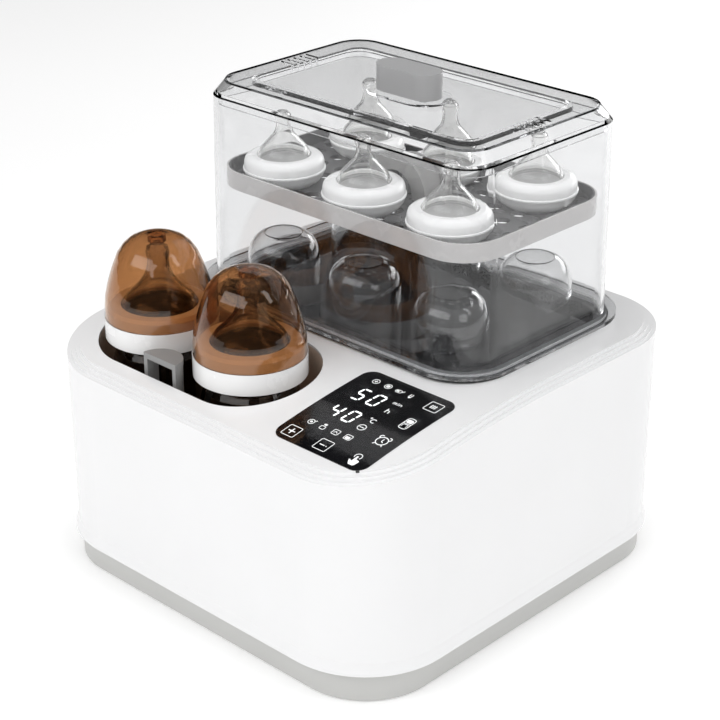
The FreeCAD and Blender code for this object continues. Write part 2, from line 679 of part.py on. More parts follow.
# ---------------------------------------------------------------- electrics
board = box(92, 84, 1.6, -80, 44, 12)
parts = [box(34, 28, 22, -98, 60, 13.6), box(16, 18, 15, -60, 64, 13.6), box(16, 18, 15, -60, 40, 13.6),
         cyl(7, 20, -100, 24, 13.6), cyl(7, 20, -82, 24, 13.6), box(20, 8, 10, -55, 16, 13.6)]
finish("power_board", fuse(board, *parts))
# mains inlet: a recessed two-pin socket in a flanged body
sock = fuse(box(27, 22, 20, d("inletx"), 138.9, d("inletz") - 10), box(32, 1.5, 25, d("inletx"), 150.65, d("inletz") - 12.5))
sock = cut(sock, box(21, 16, 10, d("inletx"), 143.6, d("inletz") - 5))
pins = fuse(cyl(1.2, 10.5, d("inletx") - 4.3, 135.6, d("inletz"), "y"), cyl(1.2, 10.5, d("inletx") + 4.3, 135.6, d("inletz"), "y"))
finish("power_inlet", sock)
finish("inlet_pins", pins)

# ================================================================ hood
b = body("hood_outer")
pad(b, rr_sketch(b, d("flangew"), d("flanged"), d("flanger"), d("flangez"), 0, CY), d("flangeh"))
HB = d("flangez") + d("flangeh")
loft(b, rr_sketch(b, d("hoodw"), d("hoodd"), d("hoodr"), HB, 0, CY), rr_sketch(b, d("topw"), d("topd"), d("topr"), d("seamz"), 0, CY))
T2 = 2 * d("hoodth")
# the hollow runs a little past both ends of the outer shape
SLX, SLY = (d("hoodw") - d("topw")) / (d("seamz") - HB), (d("hoodd") - d("topd")) / (d("seamz") - HB)
hb = body("hood_inner")
loft(hb, rr_sketch(hb, d("hoodw") - T2 + 5 * SLX, d("hoodd") - T2 + 5 * SLY, d("hoodr") - d("hoodth"), HB - 5, 0, CY),
     rr_sketch(hb, d("topw") - T2 - 2 * SLX, d("topd") - T2 - 2 * SLY, d("topr") - d("hoodth"), d("seamz") + 2, 0, CY))
finish("hood_wall", cut(b, hb))

# ================================================================ lid
b = body("lid")
loft(b, rr_sketch(b, d("topw"), d("topd"), d("topr"), d("seamz"), 0, CY), rr_sketch(b, d("lidw"), d("lidd"), d("lidr"), d("lidz"), 0, CY))
loft(b, rr_sketch(b, d("topw") - 6, d("topd") - 6, d("topr") - 3, d("seamz"), 0, CY),
     rr_sketch(b, d("lidw") - 5, d("lidd") - 5, d("lidr") - 2.5, d("lidz") - 2.5, 0, CY), cut=True)
pad(b, rr_sketch(b, 186, 105, 12, d("lidz") - 5.4, 0, CY), 4)
pocket(b, rr_sketch(b, 181.3, 100.6, 10, d("lidz"), 0, CY), 3)
# locating skirt under the seam
pad(b, rr_sketch(b, d("topw") - 5.8, d("topd") - 5.8, d("topr") - 2.9, d("seamz") - 5, 0, CY), 6)
pocket(b, rr_sketch(b, d("topw") - 9.8, d("topd") - 9.8, d("topr") - 4.9, d("seamz") + 1, 0, CY), 6)
pad(b, st_sketch(b, 26, 17, d("lidz") - 3.2, 0, CY), 1.7)
sk = sketch(b, "XY_Plane", 0, CY, d("lidz"))
circle(sk, 1.6, 12, 0)
circle(sk, 1.6, -12, 0)
pocket(b, sk, 10)
# five vent slots through the rim at each end
for sx in (-1, 1):
    for i in range(5):
        pocket(b, st_sketch(b, 9.5, 1.2, d("lidz") + 1, sx * 96.6, CY + (i - 2) * 5.6), 8)
finish("lid_shell", b)

b = body("handle")
HZ = d("lidz") - 1.5
pad(b, st_sketch(b, 27, 10.5, HZ, 0, CY), 16.3)
sk = sketch(b, "XY_Plane", 0, CY, HZ + 9)
circle(sk, 1.45, 12, 0)
circle(sk, 1.45, -12, 0)
pocket(b, sk, 9.5)
finish("lid_handle", b)
finish("lid_screws", fuse(*[cyl(1.4, 13, sx * 12, CY, d("lidz") - 5.4 - 1) for sx in (-1, 1)],
                          *[cyl(3, 2, sx * 12, CY, d("lidz") - 5.4 - 2) for sx in (-1, 1)]))

# ================================================================ teat tray
TZ = d("trayz")
b = body("tray")
pad(b, rr_sketch(b, d("trayw"), d("trayd"), d("trayr"), TZ, 0, CY), d("trayh"))
pocket(b, rr_sketch(b, d("trayw") - 2 * d("trayth"), d("trayd") - 2 * d("trayth"), d("trayr") - d("trayth"), TZ + d("trayh"), 0, CY),
       d("trayh") - 3)
# centre socket for the column's spigot
sk = sketch(b, "XY_Plane", 0, CY, TZ + 3)
circle(sk, 6.9)
pocket(b, sk, 10)
tray_holes = []
for i in range(11):
    for j in range(7):
        x, y = (i - 5) * 19.0, (j - 3) * 15.5
        if abs(x) < 27.5 and abs(y) < 17.5:
            continue
        if abs(x) > 88 and abs(y) > 50:
            continue
        tray_holes.append((x, y))
sk = sketch(b, "XY_Plane", 0, CY, TZ + 3)
for x, y in tray_holes:
    circle(sk, 5.0, x, y)
pocket(b, sk, 10)
finish("teat_tray", b)

# arch handle: a broad half ring on short legs with a raised rim at each face
b = body("arch")
for y0, y1, ro, ri in ((-9, 9, 22.5, 15.5), (-11, -8, 25, 14), (8, 11, 25, 14)):
    sk = sketch(b, "XZ_Plane", 0, TZ + 5.5, -(CY + y0))
    outline(sk, [(ro, -2.5), (ro, 0), (-ro, 0, ro), (-ro, -2.5), (-ri, -2.5), (-ri, 0), (ri, 0, -ri), (ri, -2.5)])
    pad(b, sk, y1 - y0, reverse=True)
finish("tray_handle", b)

TX, TY = d("teatx"), d("teaty")
SPOTS = [(-1, -1), (0, -1), (1, -1), (-1, 1), (0, 1), (1, 1)]


def ring_of(name, make, px=TX, py=TY):
    """Six copies of one revolved piece, on the tray or the rack positions."""
    items = []
    for sx, sy in SPOTS:
        items.append(make(sx * px, CY + sy * py))
    finish(name, fuse(*items))


def turned(pts, x, y, z):
    """Revolved piece about a vertical axis."""
    b = body("turned%03d" % COUNT[0])
    sk = sketch(b, "XZ_Plane", x, z, -q(y))
    outline(sk, pts)
    revolve(b, sk)
    return b


CZ = TZ + 3
COLLAR = [(20.6, 0), (23.2, 2.2), (25.2, 5.2), (26.1, 8.0), (26.5, 8.4), (26.5, 9.3), (25.7, 9.7), (25.7, 13.4), (25.0, 15.6), (23.3, 17.2),
          (20.9, 17.9), (17.4, 17.9), (17.4, 15.7), (21.2, 14.5), (23.7, 12.8), (23.9, 9.4), (23.2, 5.8), (21.4, 3.0), (18.6, 0)]
ring_of("tray_collars", lambda x, y: turned(COLLAR, x, y, CZ))
TEAT = [(16.9, 15.5), (16.6, 19), (14.6, 23), (10.2, 27.7), (6.4, 32), (4.9, 36), (4.8, 40), (5.6, 42.7), (5.3, 45.7), (3.2, 47.8), (0, 48.4),
        (0, 47), (2.4, 46.5), (4, 44.9), (4.2, 42.9), (3.4, 40), (3.5, 35.8), (5.1, 31.2), (9.1, 26.7), (13.4, 22.1), (15.2, 18.5), (15.5, 14.1),
        (20.9, 13.5), (20.9, 14.5), (17.3, 15.5)]
ring_of("tray_teats", lambda x, y: turned(TEAT, x, y, CZ))

# ================================================================ rack
RZ = d("rackz")
rack_plate = prism_rr(d("rackw"), d("rackd"), d("rackr"), RZ, d("rackth"), 0, CY)
legs = [cyl(4, RZ - d("tubz") - 2, sx * 88, CY + sy * 48, d("tubz") + 2) for sx in (-1, 1) for sy in (-1, 1)]
column = cyl(d("columnr"), TZ - RZ - d("rackth"), 0, CY, RZ + d("rackth"))
spigot = cyl(6.5, 6, 0, CY, TZ - 2)
finish("bottle_rack", fuse(rack_plate, *legs, column, spigot))
DOME = [(24.0, 0), (24.0, 24.0), (23.4, 29.5), (21.9, 34.5), (19.4, 38.6), (16.2, 41.4), (12.4, 43.0), (0, 43.0),
        (0, 41.5), (12.0, 41.5), (15.2, 40.1), (18.1, 37.6), (20.5, 33.8), (21.9, 29.2), (22.5, 24.0), (22.5, 0)]
ring_of("cap_domes", lambda x, y: turned(DOME, x, y, RZ + d("rackth")), d("domex"), d("domey"))

# ================================================================ warmer load
BZ = d("basinz") + 2
floor_plate = prism_st(d("warmlen"), 40.8, BZ + 2, 3, WX, WY)
floor_feet = [cyl(4, 2.5, WX + px, WY + py, BZ) for px, py in ((-50, -24), (50, -24), (-50, 24), (50, 24))]
floor_holes = [cyl(5, 10, WX + px, WY + py, BZ) for px, py in ((-60, 0), (-42, 14), (-42, -14), (-24, 0), (24, 0), (42, 14), (42, -14), (60, 0))]
HX, HW = WX, 29.0
# lifting handle: a half-round post, flat to the front, with a window for a finger
DH = 163.4 - BZ - 2
d_post = common(cyl(14.5, DH, HX, -129.5, BZ + 2), box(HW + 2, 16, DH, HX, -121.5, BZ + 2))
finger = box(23, 40, 42, HX, -122, 117.6)
finish("bottle_basket", fuse(cut(fuse(floor_plate, *floor_feet), fuse(*floor_holes)), cut(d_post, finger)))

BOTTLE = [(0, 0), (28.5, 0), (31.0, 2.5), (31.0, 84), (29.0, 92), (26.5, 96), (26.5, 117.5), (24.5, 117.5), (24.5, 95.4), (27.2, 90.8), (29.0, 83.4),
          (29.0, 2.2), (0, 2.2)]
CL = [(35.2, 0), (35.2, 13.5), (33.0, 13.5), (33.0, 19.5), (31.0, 21.5), (24.6, 21.5), (24.6, 18.6), (29.6, 18.6), (29.6, 9), (26.9, 9), (26.9, 2), (29.2, 0)]
NIP = [(24.3, 18.8), (24.3, 22.2), (21.0, 27.0), (14.0, 33.6), (9.6, 39.5), (7.2, 46.0), (6.8, 52.0), (7.6, 55.6), (6.6, 59.2), (3.8, 61.6), (0, 62.2),
       (0, 60.6), (3.2, 60.0), (5.2, 58.0), (5.8, 55.6), (5.0, 52.2), (5.5, 45.4), (8.2, 38.4), (12.8, 32.2), (19.6, 25.8), (22.4, 21.6), (22.4, 17.2),
       (29.4, 17.2), (29.4, 18.4), (24.5, 18.5)]
CAP = [(34.9, 0), (34.7, 7.5), (33.9, 14.5), (32.3, 21.5), (30.2, 28.5), (28.3, 34.0), (25.2, 41.5), (21.4, 46.8), (17.0, 50.4), (12.0, 52.5), (6.4, 53.6), (0, 53.9),
       (0, 52.3), (3.7, 52.2), (3.7, 49.0), (5.7, 49.0), (5.7, 52.0), (11.6, 50.9), (16.2, 48.9), (20.3, 45.5), (23.9, 40.6), (26.9, 33.4), (28.8, 27.9), (30.8, 21.1), (32.4, 14.2), (33.25, 7.3), (33.4, 0)]
for tag, bx in (("a", d("bottlea")), ("b", d("bottleb"))):
    finish("bottle_%s_body" % tag, turned(BOTTLE, bx, d("bottley"), BZ + 5))
    finish("bottle_%s_collar" % tag, turned(CL, bx, d("bottley"), d("collarz")))
    finish("bottle_%s_teat" % tag, turned(NIP, bx, d("bottley"), d("collarz") - 0.5))
    finish("bottle_%s_cap" % tag, turned(CAP, bx, d("bottley"), d("capz")))

# ---------------------------------------------------------------- check and write
doc.recompute()
bad = [o.Label for o in doc.Objects if "Invalid" in o.State or "Error" in o.State]
if bad:
    raise RuntimeError("failed objects: %s" % bad)
os.makedirs("parts", exist_ok=True)
for name, obj in NODES:
    shape = obj.Shape
    if shape.isNull() or not shape.isValid() or not shape.Solids:
        raise RuntimeError("bad shape: " + name)
    print(name, "solids", len(shape.Solids), "volume %.0f" % shape.Volume,
          "box %.1f %.1f %.1f .. %.1f %.1f %.1f" % (shape.BoundBox.XMin, shape.BoundBox.YMin, shape.BoundBox.ZMin,
                                                   shape.BoundBox.XMax, shape.BoundBox.YMax, shape.BoundBox.ZMax))
    shape.exportStep("parts/%s.step" % name)
print(len(NODES), "nodes")
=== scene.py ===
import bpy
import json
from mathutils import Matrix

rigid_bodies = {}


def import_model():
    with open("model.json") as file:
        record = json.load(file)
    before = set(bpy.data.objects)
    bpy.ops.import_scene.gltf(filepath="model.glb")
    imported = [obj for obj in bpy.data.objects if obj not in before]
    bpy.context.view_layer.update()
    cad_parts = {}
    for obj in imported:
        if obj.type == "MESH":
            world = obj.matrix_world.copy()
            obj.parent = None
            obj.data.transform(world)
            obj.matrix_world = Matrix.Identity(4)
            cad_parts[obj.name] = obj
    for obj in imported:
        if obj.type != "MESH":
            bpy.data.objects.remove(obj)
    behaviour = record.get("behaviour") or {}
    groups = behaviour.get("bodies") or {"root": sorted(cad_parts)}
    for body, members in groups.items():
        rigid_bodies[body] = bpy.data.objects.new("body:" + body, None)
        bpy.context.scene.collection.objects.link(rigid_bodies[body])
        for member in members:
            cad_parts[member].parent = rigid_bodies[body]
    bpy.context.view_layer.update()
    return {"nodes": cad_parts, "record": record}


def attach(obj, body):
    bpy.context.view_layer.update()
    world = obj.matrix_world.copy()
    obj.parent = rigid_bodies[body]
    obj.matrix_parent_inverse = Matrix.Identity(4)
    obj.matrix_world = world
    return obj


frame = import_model()
import json
import math
import random

import bpy
import bmesh
from mathutils import Matrix, Vector

N = frame["nodes"]
scene = bpy.context.scene
random.seed(7)
MM = 0.001


# ---------------------------------------------------------------- materials
def new_mat(name):
    m = bpy.data.materials.new(name)
    m.use_nodes = True
    t = m.node_tree
    t.nodes.clear()
    out = t.nodes.new("ShaderNodeOutputMaterial")
    p = t.nodes.new("ShaderNodeBsdfPrincipled")
    t.links.new(p.outputs["BSDF"], out.inputs["Surface"])
    return m, t, p, out


def coords(t, scale=(1, 1, 1)):
    tc = t.nodes.new("ShaderNodeTexCoord")
    mp = t.nodes.new("ShaderNodeMapping")
    mp.inputs["Scale"].default_value = scale
    t.links.new(tc.outputs["Object"], mp.inputs["Vector"])
    return mp.outputs["Vector"]


def noise(t, vec, scale, detail=3.0, rough=0.5):
    n = t.nodes.new("ShaderNodeTexNoise")
    n.inputs["Scale"].default_value = scale
    n.inputs["Detail"].default_value = detail
    n.inputs["Roughness"].default_value = rough
    t.links.new(vec, n.inputs["Vector"])
    return n.outputs["Fac"]


def ramp(t, fac, stops):
    r = t.nodes.new("ShaderNodeValToRGB")
    e = r.color_ramp.elements
    while len(e) < len(stops):
        e.new(0.5)
    for el, (pos, col) in zip(e, stops):
        el.position = pos
        el.color = (*col, 1) if len(col) == 3 else col
    t.links.new(fac, r.inputs["Fac"])
    return r.outputs["Color"]


def span(t, fac, a, b, lo=0.3, hi=0.7):
    r = t.nodes.new("ShaderNodeMapRange")
    r.inputs["From Min"].default_value = lo
    r.inputs["From Max"].default_value = hi
    r.inputs["To Min"].default_value = a
    r.inputs["To Max"].default_value = b
    t.links.new(fac, r.inputs["Value"])
    return r.outputs["Result"]


def bump(t, p, height, strength, distance):
    b = t.nodes.new("ShaderNodeBump")
    b.inputs["Strength"].default_value = strength
    b.inputs["Distance"].default_value = distance
    t.links.new(height, b.inputs["Height"])
    t.links.new(b.outputs["Normal"], p.inputs["Normal"])
    return b


def moulded(name, col, rough, vary=0.02, grain=900, depth=0.00002, strength=0.15, coat=0.0, coat_rough=0.08, spread=0.05, spec=0.5):
    """Injection-moulded plastic: a slight drift of tone, patchy gloss and a fine skin texture."""
    m, t, p, out = new_mat(name)
    v = coords(t)
    a = tuple(max(0, c * (1 - vary)) for c in col)
    b = tuple(min(1, c * (1 + vary)) for c in col)
    t.links.new(ramp(t, noise(t, v, 14, 2), [(0.35, a), (0.65, b)]), p.inputs["Base Color"])
    t.links.new(span(t, noise(t, v, 60, 4), rough * (1 - spread * 2), rough * (1 + spread * 2)), p.inputs["Roughness"])
    p.inputs["Specular IOR Level"].default_value = spec
    p.inputs["Coat Weight"].default_value = coat
    p.inputs["Coat Roughness"].default_value = coat_rough
    bump(t, p, noise(t, v, grain, 2), strength, depth)
    return m


def metal(name, col, rough, stretch=(1, 1, 30), strength=0.2):
    m, t, p, out = new_mat(name)
    v = coords(t, stretch)
    t.links.new(ramp(t, noise(t, v, 120, 3), [(0.3, tuple(c * 0.85 for c in col)), (0.7, col)]), p.inputs["Base Color"])
    p.inputs["Metallic"].default_value = 1.0
    t.links.new(span(t, noise(t, v, 300, 3), rough * 0.8, rough * 1.25), p.inputs["Roughness"])
    bump(t, p, noise(t, v, 500, 2), strength, 0.00002)
    return m


def coated(name, c1, c2, rough, metallic=0.3):
    """Dark non-stick coat: fine speckle and a soft sheen."""
    m, t, p, out = new_mat(name)
    v = coords(t)
    t.links.new(ramp(t, noise(t, v, 900, 5, 0.7), [(0.42, c1), (0.62, c2)]), p.inputs["Base Color"])
    p.inputs["Metallic"].default_value = metallic
    t.links.new(span(t, noise(t, v, 40, 3), rough * 0.85, rough * 1.2), p.inputs["Roughness"])
    bump(t, p, noise(t, v, 1400, 3), 0.25, 0.00003)
    return m


def clear(name, tint, rough, ior, shadow, haze=0.0, wave=0.04, wave_scale=35, spec=0.5, deep=None, density=0.0):
    """Clear plastic or silicone. Its shadow is a pale tint instead of a black one."""
    m, t, p, out = new_mat(name)
    v = coords(t)
    p.inputs["Base Color"].default_value = (*tint, 1)
    p.inputs["Transmission Weight"].default_value = 1.0 - haze
    p.inputs["IOR"].default_value = ior
    p.inputs["Specular IOR Level"].default_value = spec
    t.links.new(span(t, noise(t, v, 25, 3), max(0.0, rough * 0.6), rough * 1.4), p.inputs["Roughness"])
    bump(t, p, noise(t, v, wave_scale, 2), wave, 0.0003)
    lp = t.nodes.new("ShaderNodeLightPath")
    tr = t.nodes.new("ShaderNodeBsdfTransparent")
    tr.inputs["Color"].default_value = (*shadow, 1)
    mx = t.nodes.new("ShaderNodeMixShader")
    t.links.new(lp.outputs["Is Shadow Ray"], mx.inputs["Fac"])
    t.links.new(p.outputs["BSDF"], mx.inputs[1])
    t.links.new(tr.outputs["BSDF"], mx.inputs[2])
    t.links.new(mx.outputs["Shader"], out.inputs["Surface"])
    if density:
        va = t.nodes.new("ShaderNodeVolumeAbsorption")
        va.inputs["Color"].default_value = (*deep, 1)
        va.inputs["Density"].default_value = density
        t.links.new(va.outputs["Volume"], out.inputs["Volume"])
    return m


M = {}
M["white_gloss"] = moulded("white_gloss", (0.88, 0.88, 0.885), 0.24, vary=0.006, grain=260, depth=0.00002, strength=0.05, coat=0.35, coat_rough=0.06)
M["pan_grey"] = moulded("pan_grey", (0.56, 0.56, 0.545), 0.38, vary=0.01, grain=1500, depth=0.00002, strength=0.2)
M["panel_black"] = moulded("panel_black", (0.006, 0.006, 0.007), 0.12, vary=0.2, grain=60, depth=0.00001, strength=0.02, coat=0.6, coat_rough=0.04)
M["board_green"] = moulded("board_green", (0.03, 0.16, 0.08), 0.4, vary=0.15, grain=1200)
M["foot_rubber"] = moulded("foot_rubber", (0.02, 0.02, 0.021), 0.75, vary=0.1, grain=2500, strength=0.5)
M["screw_steel"] = metal("screw_steel", (0.62, 0.62, 0.64), 0.28, (30, 30, 1))
M["basin_metal"] = coated("basin_metal", (0.66, 0.52, 0.42), (0.72, 0.57, 0.46), 0.34, 0.1)
M["heater_alu"] = metal("heater_alu", (0.7, 0.7, 0.71), 0.4)
M["sensor_black"] = moulded("sensor_black", (0.02, 0.02, 0.02), 0.5, vary=0.1)
M["tub_metal"] = coated("tub_metal", (0.014, 0.0145, 0.015), (0.022, 0.0225, 0.024), 0.1, 0.1)
M["seal_grey"] = moulded("seal_grey", (0.5, 0.51, 0.52), 0.45, vary=0.02, grain=1500)
M["duct_grey"] = moulded("duct_grey", (0.16, 0.165, 0.17), 0.5, vary=0.04, grain=1600, strength=0.3)
M["motor_steel"] = metal("motor_steel", (0.5, 0.5, 0.51), 0.3, (1, 30, 1))
M["filter_foam"] = moulded("filter_foam", (0.05, 0.05, 0.053), 0.9, vary=0.3, grain=700, depth=0.0004, strength=0.9)
M["inlet_black"] = moulded("inlet_black", (0.018, 0.018, 0.019), 0.45, vary=0.08, grain=1600, strength=0.3)
M["pin_brass"] = metal("pin_brass", (0.8, 0.62, 0.3), 0.25)
M["clear_hood"] = clear("clear_hood", (0.955, 0.957, 0.96), 0.002, 1.40, (0.995, 0.995, 0.996), wave=0.008, deep=(0.4, 0.41, 0.43), density=34.0)
M["clear_lid"] = clear("clear_lid", (0.975, 0.977, 0.98), 0.002, 1.40, (0.995, 0.995, 0.996), wave=0.012, deep=(0.5, 0.51, 0.53), density=6.0)
M["handle_grey"] = moulded("handle_grey", (0.45, 0.45, 0.455), 0.34, vary=0.015, grain=1500, strength=0.15)
M["tray_grey"] = moulded("tray_grey", (0.2, 0.2, 0.205), 0.36, vary=0.03, grain=1400, strength=0.2)
M["rack_grey"] = moulded("rack_grey", (0.012, 0.012, 0.013), 0.025, vary=0.05, grain=60, depth=0.00001, strength=0.01, spec=0.8)
M["arch_grey"] = moulded("arch_grey", (0.3, 0.296, 0.292), 0.26, vary=0.02, grain=1400, strength=0.15)
M["teat_silicone"] = clear("teat_silicone", (0.97, 0.97, 0.965), 0.03, 1.41, (0.98, 0.98, 0.98), haze=0.02, wave=0.04)
M["teat_bottle"] = clear("teat_bottle", (0.93, 0.9, 0.86), 0.01, 1.42, (0.95, 0.93, 0.9), haze=0.0, wave=0.01, deep=(0.35, 0.25, 0.16), density=170.0)
M["dome_clear"] = clear("dome_clear", (0.955, 0.958, 0.96), 0.0, 1.5, (0.993, 0.993, 0.994), wave=0.0, deep=(0.2, 0.2, 0.21), density=60.0)
M["basket_grey"] = moulded("basket_grey", (0.27, 0.27, 0.268), 0.4, vary=0.02, grain=1300, strength=0.15)
# Bottle bodies: a dark brown-grey tint and a dark shadow tint make the bottle mouths look dark. This is painted shade.
M["bottle_clear"] = clear("bottle_clear", (0.26, 0.2, 0.16), 0.02, 1.45, (0.55, 0.48, 0.4), wave=0.02)
M["collar_white"] = moulded("collar_white", (0.92, 0.92, 0.918), 0.26, vary=0.006, grain=500, strength=0.06, coat=0.25)
M["cap_amber"] = clear("cap_amber", (0.75, 0.53, 0.33), 0.001, 1.56, (0.88, 0.73, 0.55), wave=0.004, deep=(0.45, 0.2, 0.08), density=165.0)

SLOT = {}
for s in frame["record"]["subparts"]:
    SLOT[s["node"]] = s["material_slot"]


def paint(node, mat):
    o = N[node]
    if not o.data.materials:
        o.data.materials.append(mat)
    for i in range(len(o.material_slots)):
        o.material_slots[i].material = mat


for node, s in SLOT.items():
    paint(node, M[s])
for node in ("lid_shell",):
    paint(node, M["clear_lid"])
paint("bottle_rack", M["rack_grey"])
paint("bottle_a_teat", M["teat_bottle"])
paint("bottle_b_teat", M["teat_bottle"])
paint("tray_handle", M["arch_grey"])


def soften(node, angle):
    """Shades a turned piece smoothly across the gentle breaks of its profile. Nothing is moved."""
    w = N[node].modifiers.new("weld", "WELD")
    w.merge_threshold = 0.000001
    e = N[node].modifiers.new("split", "EDGE_SPLIT")
    e.use_edge_angle = True
    e.use_edge_sharp = False
    e.split_angle = math.radians(angle)
    n = N[node].modifiers.new("normals", "WEIGHTED_NORMAL")
    n.mode = "CORNER_ANGLE"
    n.keep_sharp = True


soften("cap_domes", 22)
for node in ("tray_collars", "tray_teats", "bottle_a_cap", "bottle_b_cap", "bottle_a_teat", "bottle_b_teat"):
    soften(node, 34)


def calc(t, op, a, b=None):
    n = t.nodes.new("ShaderNodeMath")
    n.operation = op
    for i, x in enumerate((a, b)):
        if x is None:
            continue
        if isinstance(x, (int, float)):
            n.inputs[i].default_value = x
        else:
            t.links.new(x, n.inputs[i])
    return n.outputs[0]


def within(t, sep, half_x, half_y, r, cy=0.0423):
    """1 inside an upright rounded-rectangle prism, 0 outside it."""
    ax = calc(t, "MAXIMUM", calc(t, "SUBTRACT", calc(t, "ABSOLUTE", sep.outputs["X"]), half_x - r), 0.0)
    ay = calc(t, "MAXIMUM", calc(t, "SUBTRACT", calc(t, "ABSOLUTE", calc(t, "SUBTRACT", sep.outputs["Y"], cy)), half_y - r), 0.0)
    return calc(t, "LESS_THAN", calc(t, "ADD", calc(t, "MULTIPLY", ax, ax), calc(t, "MULTIPLY", ay, ay)), r * r)


def tray_painted_light_and_shade():
    """Satin plastic of the tray with a pale outer wall and a darker inside, parted along the rim. The darker inside is
    painted shade of the tray's hollow, and the paler outer wall is painted light.
    """
    m, t, p, out = new_mat("tray_painted_light_and_shade")
    v = coords(t)
    sep = t.nodes.new("ShaderNodeSeparateXYZ")
    t.links.new(v, sep.inputs["Vector"])

    # The inside of the tray is masked off and given a dark tone as painted shade; the outer wall gets a pale tone as
    # painted light.
    inside = within(t, sep, 0.1085 - 0.0012, 0.0685 - 0.0012, 0.0248)
    tone = ramp(t, noise(t, v, 14, 2), [(0.35, (0.085, 0.085, 0.087)), (0.65, (0.1, 0.1, 0.102))])
    pale = ramp(t, noise(t, v, 14, 2), [(0.35, (0.6, 0.585, 0.58)), (0.65, (0.62, 0.605, 0.6))])
    mix = t.nodes.new("ShaderNodeMix")
    mix.data_type = "RGBA"
    t.links.new(inside, mix.inputs["Factor"])
    t.links.new(pale, mix.inputs["A"])
    t.links.new(tone, mix.inputs["B"])
    t.links.new(mix.outputs["Result"], p.inputs["Base Color"])
    t.links.new(span(t, noise(t, v, 60, 4), 0.22, 0.3), p.inputs["Roughness"])
    bump(t, p, noise(t, v, 1400, 2), 0.15, 0.00002)
    return m


paint("teat_tray", tray_painted_light_and_shade())


def edge_line(mat, zmin, half_x, half_y, r, dark, plain):
    """Darken the clear plastic where the light is bent away along the upper edge."""
    t = mat.node_tree
    p = next(n for n in t.nodes if n.type == "BSDF_PRINCIPLED")
    sep = t.nodes.new("ShaderNodeSeparateXYZ")
    t.links.new(coords(t), sep.inputs["Vector"])
    ring = calc(t, "SUBTRACT", 1.0, within(t, sep, half_x, half_y, r))
    mask = calc(t, "MULTIPLY", ring, calc(t, "GREATER_THAN", sep.outputs["Z"], zmin))
    mix = t.nodes.new("ShaderNodeMix")
    mix.data_type = "RGBA"
    t.links.new(mask, mix.inputs["Factor"])
    mix.inputs["A"].default_value = (*plain, 1)
    mix.inputs["B"].default_value = (*dark, 1)
    t.links.new(mix.outputs["Result"], p.inputs["Base Color"])


edge_line(M["clear_lid"], 0.3022, 0.10665 - 0.0009, 0.0663 - 0.0009, 0.0178, (0.16, 0.165, 0.17), (0.975, 0.977, 0.98))


# ---------------------------------------------------------------- mesh helpers
def link(name, bm, mat, body, smooth=True):
    me = bpy.data.meshes.new(name)
    bmesh.ops.recalc_face_normals(bm, faces=bm.faces)
    bm.to_mesh(me)
    bm.free()
    if smooth:
        for p in me.polygons:
            p.use_smooth = True
    o = bpy.data.objects.new(name, me)
    scene.collection.objects.link(o)
    o.data.materials.append(mat)
    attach(o, body)
    return o


def deck_z(y):
    """Deck height in mm at row y, in mm."""
    return 163.0 if y >= 7 else 163.0 - 757.0 + math.sqrt(757.0 ** 2 - (7.0 - y) ** 2)


PX, PY = 89.1, -90.8
LIFT = 0.32


def on_panel(u, v, h):
    y = PY + v
    return Vector(((PX + u) * MM, y * MM, (deck_z(y) + LIFT + h) * MM))


def strip(bm, pts, w, closed=False, h=0.09):
    """A flat printed line of width w along pts, with a little thickness."""
    n = len(pts)
    left, right = [], []
    for i in range(n):
        a = pts[i - 1] if (i > 0 or closed) else None
        b = pts[i]
        c = pts[(i + 1) % n] if (i < n - 1 or closed) else None
        d1 = Vector((b[0] - a[0], b[1] - a[1])).normalized() if a is not None else None
        d2 = Vector((c[0] - b[0], c[1] - b[1])).normalized() if c is not None else None
        if d1 is None:
            d1 = d2
        if d2 is None:
            d2 = d1
        n1, n2 = Vector((-d1.y, d1.x)), Vector((-d2.y, d2.x))
        m = n1 + n2
        if m.length < 1e-6:
            m = n1
        m.normalize()
        k = w / 2 / max(0.35, m.dot(n1))
        left.append((b[0] + m.x * k, b[1] + m.y * k))
        right.append((b[0] - m.x * k, b[1] - m.y * k))
    lt = [bm.verts.new(on_panel(x, y, h)) for x, y in left]
    rt = [bm.verts.new(on_panel(x, y, h)) for x, y in right]
    lb = [bm.verts.new(on_panel(x, y, -0.05)) for x, y in left]
    rb = [bm.verts.new(on_panel(x, y, -0.05)) for x, y in right]
    segs = n if closed else n - 1
    for i in range(segs):
        j = (i + 1) % n
        bm.faces.new((lt[i], lt[j], rt[j], rt[i]))
        bm.faces.new((lb[j], lb[i], rb[i], rb[j]))
        bm.faces.new((lb[i], lb[j], lt[j], lt[i]))
        bm.faces.new((rb[j], rb[i], rt[i], rt[j]))
    if not closed:
        bm.faces.new((lb[0], lt[0], rt[0], rb[0]))
        bm.faces.new((lt[-1], lb[-1], rb[-1], rt[-1]))


def plate(bm, pts, h=0.09):
    top = [bm.verts.new(on_panel(x, y, h)) for x, y in pts]
    bot = [bm.verts.new(on_panel(x, y, -0.05)) for x, y in pts]
    n = len(pts)
    bm.faces.new(top)
    bm.faces.new(list(reversed(bot)))
    for i in range(n):
        j = (i + 1) % n
        bm.faces.new((bot[i], bot[j], top[j], top[i]))


def circle_pts(cx, cy, r, n=28, a0=0.0, a1=360.0):
    full = abs(a1 - a0 - 360) < 1e-6
    k = n if full else n + 1
    return [(cx + r * math.cos(math.radians(a0 + (a1 - a0) * i / n)), cy + r * math.sin(math.radians(a0 + (a1 - a0) * i / n))) for i in range(k)]


def rrect(cx, cy, w, h, r, n=5):
    out = []
    for sx, sy, a in ((1, 1, 0), (-1, 1, 90), (-1, -1, 180), (1, -1, 270)):
        for i in range(n + 1):
            an = math.radians(a + 90 * i / n)
            out.append((cx + sx * (w / 2 - r) + r * math.cos(an), cy + sy * (h / 2 - r) + r * math.sin(an)))
    return out


